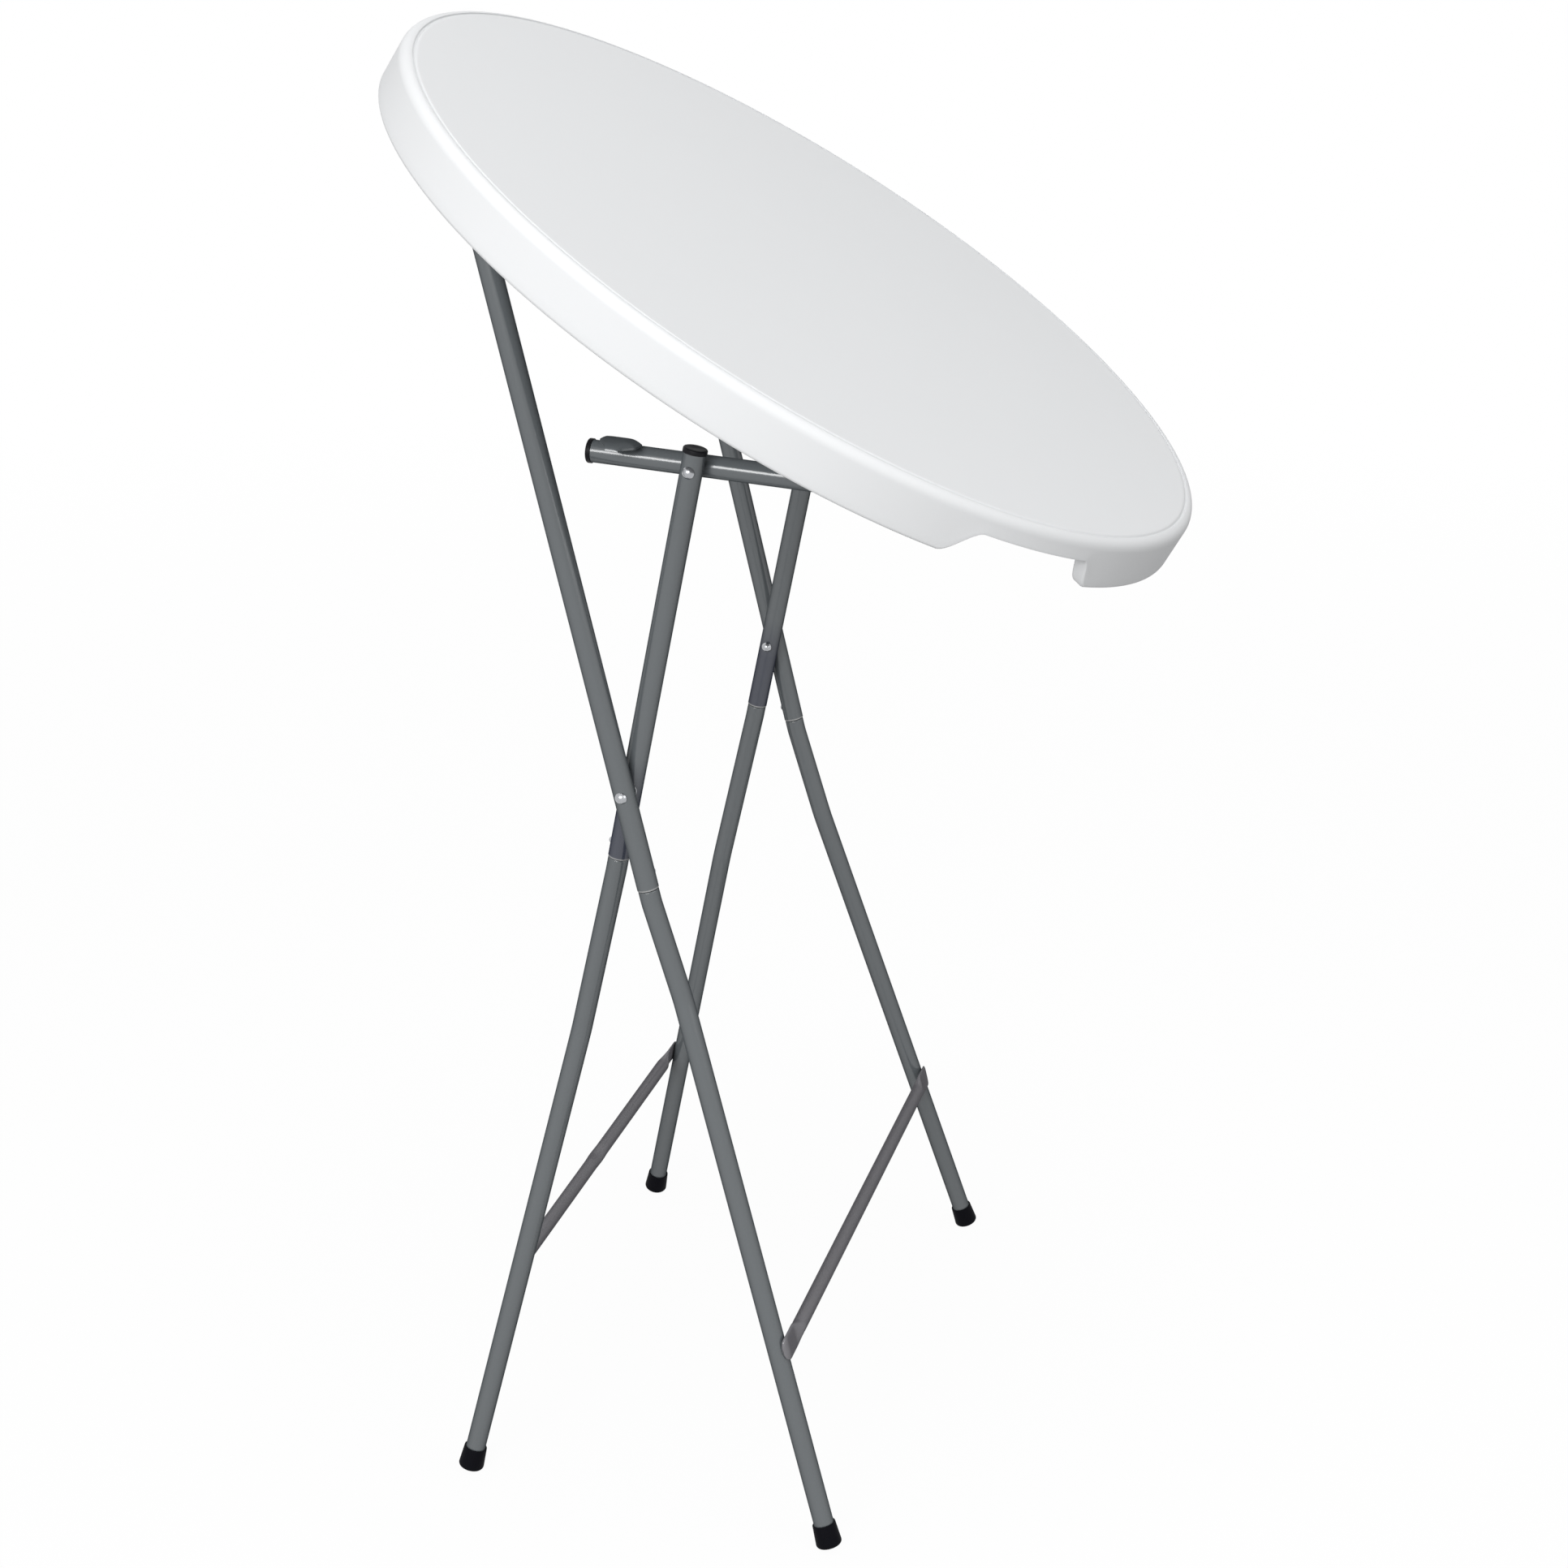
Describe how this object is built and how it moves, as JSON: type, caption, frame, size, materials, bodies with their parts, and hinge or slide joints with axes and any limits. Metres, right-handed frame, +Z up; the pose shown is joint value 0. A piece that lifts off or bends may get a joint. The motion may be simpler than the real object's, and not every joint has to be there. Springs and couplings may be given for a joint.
{
  "type": "folding bistro table",
  "caption": "Bar-height folding table: a round moulded top on crossing tubular leg frames with knee links, standing half unfolded.",
  "frame": {"origin": "On the floor, under the middle of the table's bounding box", "axes": "+Z up; +X from the hinge side of the top to its low knee side; +Y from the front pair of legs to the back pair"},
  "size_m": [0.7046, 0.8, 1.3015],
  "materials": {
    "white_plastic": "white moulded polyethylene with a fine satin grain",
    "grey_steel": "grey powder coat, semi-gloss with a fine texture",
    "zinc_steel": "bright zinc plate",
    "spring_steel": "plain spring steel",
    "black_plastic": "black moulded plastic",
    "black_rubber": "black rubber"
  },
  "bodies": {
    "outer_frame": {"outer_upper_leg_front": "grey_steel", "outer_upper_leg_back": "grey_steel", "hinge_cross_tube": "grey_steel", "outer_lower_leg_front": "grey_steel", "outer_lower_leg_back": "grey_steel", "outer_foot_front": "black_rubber", "outer_foot_back": "black_rubber", "outer_brace": "grey_steel", "scissor_bolt_front": "zinc_steel", "scissor_bolt_back": "zinc_steel", "scissor_nut_front": "zinc_steel", "scissor_nut_back": "zinc_steel", "scissor_washer_front": "zinc_steel", "scissor_washer_back": "zinc_steel"},
    "inner_frame": {"inner_upper_leg_front": "grey_steel", "inner_upper_leg_back": "grey_steel", "inner_lower_leg_front": "grey_steel", "inner_lower_leg_back": "grey_steel", "inner_foot_front": "black_rubber", "inner_foot_back": "black_rubber", "inner_brace": "grey_steel", "leg_plug_front": "black_plastic", "leg_plug_back": "black_plastic", "knee_bolt_front": "zinc_steel", "knee_bolt_back": "zinc_steel", "knee_washer_front": "zinc_steel", "knee_washer_back": "zinc_steel"},
    "top": {"table_top": "white_plastic", "hinge_clamp_front": "grey_steel", "hinge_clamp_back": "grey_steel", "link_clamp_front": "grey_steel", "link_clamp_back": "grey_steel", "hinge_clamp_screw_front_left": "zinc_steel", "hinge_clamp_screw_front_right": "zinc_steel", "hinge_clamp_screw_back_left": "zinc_steel", "hinge_clamp_screw_back_right": "zinc_steel", "link_clamp_screw_front_left": "zinc_steel", "link_clamp_screw_front_right": "zinc_steel", "link_clamp_screw_back_left": "zinc_steel", "link_clamp_screw_back_right": "zinc_steel"},
    "knee_links": {"knee_link_front": "grey_steel", "knee_link_back": "grey_steel", "link_cross_tube": "grey_steel", "link_stop_front": "grey_steel", "link_stop_back": "grey_steel", "link_plug_front": "black_plastic", "link_plug_back": "black_plastic", "knee_nut_front": "zinc_steel", "knee_nut_back": "zinc_steel"},
    "outer_snap_front": {"outer_button_front": "spring_steel", "outer_spring_front": "spring_steel"},
    "outer_snap_back": {"outer_button_back": "spring_steel", "outer_spring_back": "spring_steel"},
    "inner_snap_front": {"inner_button_front": "spring_steel", "inner_spring_front": "spring_steel"},
    "inner_snap_back": {"inner_button_back": "spring_steel", "inner_spring_back": "spring_steel"}
  },
  "joints": [
    {"name": "scissor", "type": "hinge", "parent": "outer_frame", "child": "inner_frame", "pos_m": [-0.08529, 0, 0.67896], "axis": [0, 1, 0], "range_deg": [-22.5, 31.1]},
    {"name": "top_hinge", "type": "hinge", "parent": "outer_frame", "child": "top", "pos_m": [-0.21849, 0, 1.20847], "axis": [0, -1, 0], "range_deg": [-11.8, 16.3]},
    {"name": "link_hinge", "type": "hinge", "parent": "top", "child": "knee_links", "pos_m": [0.21799, 0, 0.94797], "axis": [0, -1, 0], "range_deg": [-25.5, 35.2]},
    {"name": "outer_snap_front_press", "type": "slide", "parent": "outer_frame", "child": "outer_snap_front", "axis": [-0.5836, -0.7986, -0.1468], "range_m": [0, 0.0034], "stiffness_N_per_m": 1500},
    {"name": "outer_snap_back_press", "type": "slide", "parent": "outer_frame", "child": "outer_snap_back", "axis": [0.9698, 0, 0.2439], "range_m": [0, 0.0034], "stiffness_N_per_m": 1500},
    {"name": "inner_snap_front_press", "type": "slide", "parent": "inner_frame", "child": "inner_snap_front", "axis": [0.9827, 0, -0.1853], "range_m": [0, 0.0034], "stiffness_N_per_m": 1500},
    {"name": "inner_snap_back_press", "type": "slide", "parent": "inner_frame", "child": "inner_snap_back", "axis": [0.5914, -0.7986, -0.1115], "range_m": [0, 0.0034], "stiffness_N_per_m": 1500}
  ],
  "couplings": [
    {"joint": "top_hinge", "follows": "scissor", "ratio": 0.5218},
    {"joint": "link_hinge", "follows": "scissor", "ratio": 1.1314}
  ]
}
